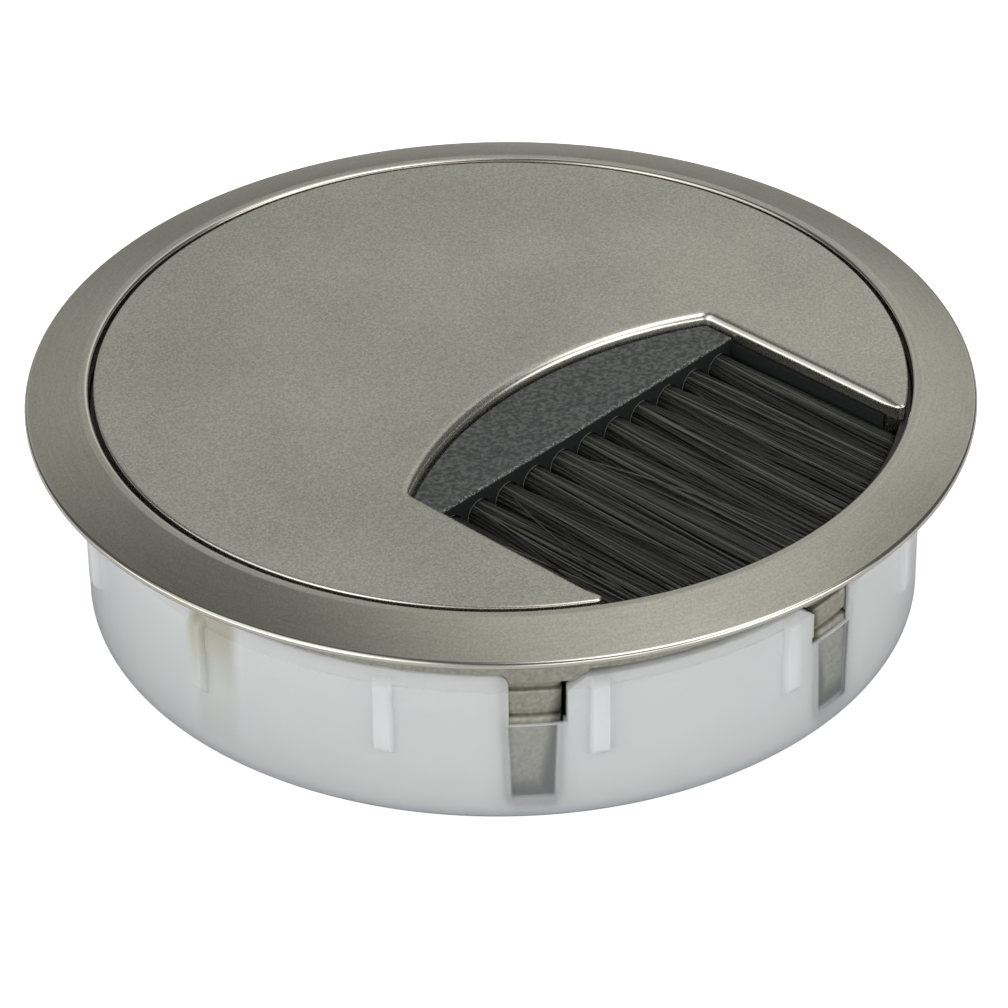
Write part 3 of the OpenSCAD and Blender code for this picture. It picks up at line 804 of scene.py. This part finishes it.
def bristle_path(rng, centre_x, root, lock):
    """Points along one bristle: straight in its hole, then bending with its lock towards the
    rim. lock is how far the lock has moved (sideways, up) by the rim."""
    root_x, root_z = root
    stray = rng.random() < 0.05
    sway = rng.gauss(0, 1.9) if stray else rng.gauss(0, 0.2)
    heave = abs(rng.gauss(0, 0.5)) if stray else rng.gauss(0, 0.1)
    wave, wave_size = rng.uniform(0, 2 * math.pi), rng.uniform(0.02, 0.1)
    far_x = centre_x + root_x * 1.7 + lock[0] + sway
    far_z = min(TUFT_Z + root_z * 0.7 + lock[1] + heave, -0.1)
    reach = TUFT_END_R - abs(rng.gauss(0, 0.15)) - 2.5 * rng.random() ** 9
    end_y = -math.sqrt(max(reach ** 2 - far_x ** 2, 100))
    steps = 11
    points = []
    for k in range(steps + 1):
        y = TUFT_BACK_Y + (end_y - TUFT_BACK_Y) * k / steps
        free = min(max((HOLDER_FRONT_Y - y) / (HOLDER_FRONT_Y - end_y), 0.0), 1.0)
        bend = 1 - (1 - free) ** 1.7
        ripple = wave_size * math.sin(wave + 5 * free) * min(1.0, 4 * free)
        x = centre_x + root_x + (far_x - centre_x - root_x) * bend + ripple
        z = TUFT_Z + root_z + (far_z - TUFT_Z - root_z) * bend + ripple * 0.6
        points.append(Vector((x, y, z)))
    return points


def bristle_tube(vertices, faces, path, radius, sides):
    """Adds a thin tube along the path, with closed ends."""
    start = len(vertices)
    for k, p in enumerate(path):
        before, after = path[max(k - 1, 0)], path[min(k + 1, len(path) - 1)]
        along = (after - before).normalized()
        across = along.cross(Vector((0, 0, 1))).normalized()
        up = across.cross(along)
        for s in range(sides):
            a = 2 * math.pi * s / sides
            vertices.append((p + (across * math.cos(a) + up * math.sin(a)) * radius) * MM)
    for k in range(len(path) - 1):
        for s in range(sides):
            t = (s + 1) % sides
            a, b = start + k * sides, start + (k + 1) * sides
            faces.append((a + s, b + s, b + t, a + t))
    faces.append(tuple(start + s for s in range(sides)))
    last = start + (len(path) - 1) * sides
    faces.append(tuple(last + s for s in reversed(range(sides))))


def tuft(index, finish):
    """One tuft: bristles packed round in their hole, which part into locks towards the rim."""
    rng = random.Random(100 + index)
    centre_x = (index - (TUFT_COUNT - 1) / 2) * TUFT_PITCH
    lean = rng.gauss(0, 0.25)
    locks = [(lean + rng.gauss(0, 0.42), rng.gauss(0, 0.16)) for _ in range(16)]
    count, root_r, golden = 180, 1.3, math.pi * (3 - math.sqrt(5))
    vertices, faces = [], []
    for i in range(count):
        distance = root_r * math.sqrt((i + 0.5) / count)
        angle = i * golden + rng.uniform(-0.2, 0.2)
        root = (distance * math.cos(angle), distance * math.sin(angle))
        lock = locks[int(angle % (2 * math.pi) / (2 * math.pi) * 8) * 2 + (distance > 0.85)]
        path = bristle_path(rng, centre_x, root, lock)
        bristle_tube(vertices, faces, path, rng.uniform(0.075, 0.1), 5)
    mesh = bpy.data.meshes.new(f"bristles_{index + 1:02d}")
    mesh.from_pydata(vertices, [], faces)
    mesh.shade_smooth()
    obj = add_object(mesh, mesh.name)
    place(obj, "lid", "bristle", finish, f"tuft_{index + 1:02d}")


# ---------------------------------------------------------------- CAD nodes shown as they are

def ease_edges(obj, width, finish, segments=2):
    """Shows a CAD node with its finish and a small rounding on its edges."""
    obj.data.materials.clear()
    obj.data.materials.append(finish)
    weld = obj.modifiers.new("weld", "WELD")
    weld.merge_threshold = 1e-6
    bevel = obj.modifiers.new("bevel", "BEVEL")
    bevel.width = width * MM
    bevel.segments = segments
    bevel.limit_method = "ANGLE"
    bevel.angle_limit = math.radians(40)
    bevel.harden_normals = True


# ---------------------------------------------------------------- camera, floor and light

def camera():
    """The photograph's viewpoint, fitted to the flange, the lid gap and the sleeve."""
    distance, elevation, azimuth, roll = 450.9 * MM, 34.63, -46.2, 0.69
    right_shift, up_shift, aim_z = 0.18 * MM, -11.53 * MM, 0.8 * MM
    a, e = math.radians(azimuth), math.radians(elevation)
    back = Vector((math.sin(a) * math.cos(e), -math.cos(a) * math.cos(e), math.sin(e)))
    right = Vector((math.cos(a), math.sin(a), 0))
    up = back.cross(right)
    data = bpy.data.cameras.new("camera")
    data.sensor_width = 36
    data.lens = 172.07
    data.clip_start, data.clip_end = 0.01, 10
    cam = add_object(data, "camera")
    cam.location = back * distance + right * right_shift + up * up_shift
    cam.location.z += aim_z
    turn = Matrix((right, up, back)).transposed()
    cam.rotation_euler = (turn @ Matrix.Rotation(math.radians(-roll), 3, "Z")).to_euler()
    bpy.context.scene.camera = cam


def floor():
    mesh = bpy.data.meshes.new("floor")
    mesh.from_pydata([(-3, -3, 0), (3, -3, 0), (3, 3, 0), (-3, 3, 0)], [], [(0, 1, 2, 3)])
    obj = add_object(mesh, "floor")
    obj.location.z = cad_box[0].z
    mesh.materials.append(floor_paint())


def studio():
    """A grey studio with broad soft patches of light, each (azimuth, elevation, from, to,
    strength): full within the first angle from its middle and gone at the second."""
    patches = [
        (15, 8, 8, 29, 2.4),
        (20, 62, 8, 29, 2.2),
        (-125, 0, 8, 26, 1.7),
        (-95, 8, 4, 22, 2.0),
        (-25, 8, 4, 22, 1.7),
        (-110, 42, 5, 30, 1.0),
        (-75, 8, 4, 20, 1.0),
        (-80, 30, 4, 22, 1.0),
        (116, 62, 4, 22, 0.75),
        (114, 29, 4, 24, 0.6),
        (158, 26, 4, 26, 0.36),
        (-60, 10, 6, 30, 0.3),
        (134, 38, 4, 26, 0.14),
    ]
    world = bpy.data.worlds.new("studio")
    bpy.context.scene.world = world
    g = Graph(world)
    direction = g.node("ShaderNodeTexCoord").outputs["Generated"]
    total = 0.085
    for azimuth, elevation, near, far, strength in patches:
        a, e = math.radians(azimuth), math.radians(elevation)
        middle = (math.sin(a) * math.cos(e), -math.cos(a) * math.cos(e), math.sin(e))
        facing = g.node("ShaderNodeVectorMath", {"operation": "DOT_PRODUCT"})
        g.feed(facing.inputs[0], direction)
        facing.inputs[1].default_value = middle
        lit = g.step(facing.outputs["Value"], math.cos(math.radians(far)),
                     math.cos(math.radians(near)), 0, strength)
        total = g.math("ADD", lit, total)
    seen = g.node("ShaderNodeLightPath").outputs["Is Camera Ray"]
    background = g.tree.nodes["Background"]
    g.feed(background.inputs["Color"], (1.0, 1.0, 1.0))
    g.feed(background.inputs["Strength"], g.math("MAXIMUM", total, seen))


def colours():
    view = bpy.context.scene.view_settings
    view.view_transform = "Standard"
    view.look = "None"


# ---------------------------------------------------------------- the scene

nodes = frame["nodes"]
ring(brushed_nickel())
sleeve(milky_plastic())
glide(smooth_black())
lid(bead_blasted_nickel())
ease_edges(nodes["brush_holder"], 0.15, grained_plastic())
ease_edges(nodes["holder_screws"], 0.12,
           bright_metal("zinc plate", (0.50, 0.50, 0.49), (0.64, 0.64, 0.62)))
ease_edges(nodes["tuft_anchors"], 0.05,
           bright_metal("brass wire", (0.58, 0.44, 0.22), (0.74, 0.60, 0.34)))
nylon = bristle_nylon()
for number in range(TUFT_COUNT):
    tuft(number, nylon)

camera()
floor()
studio()
colours()
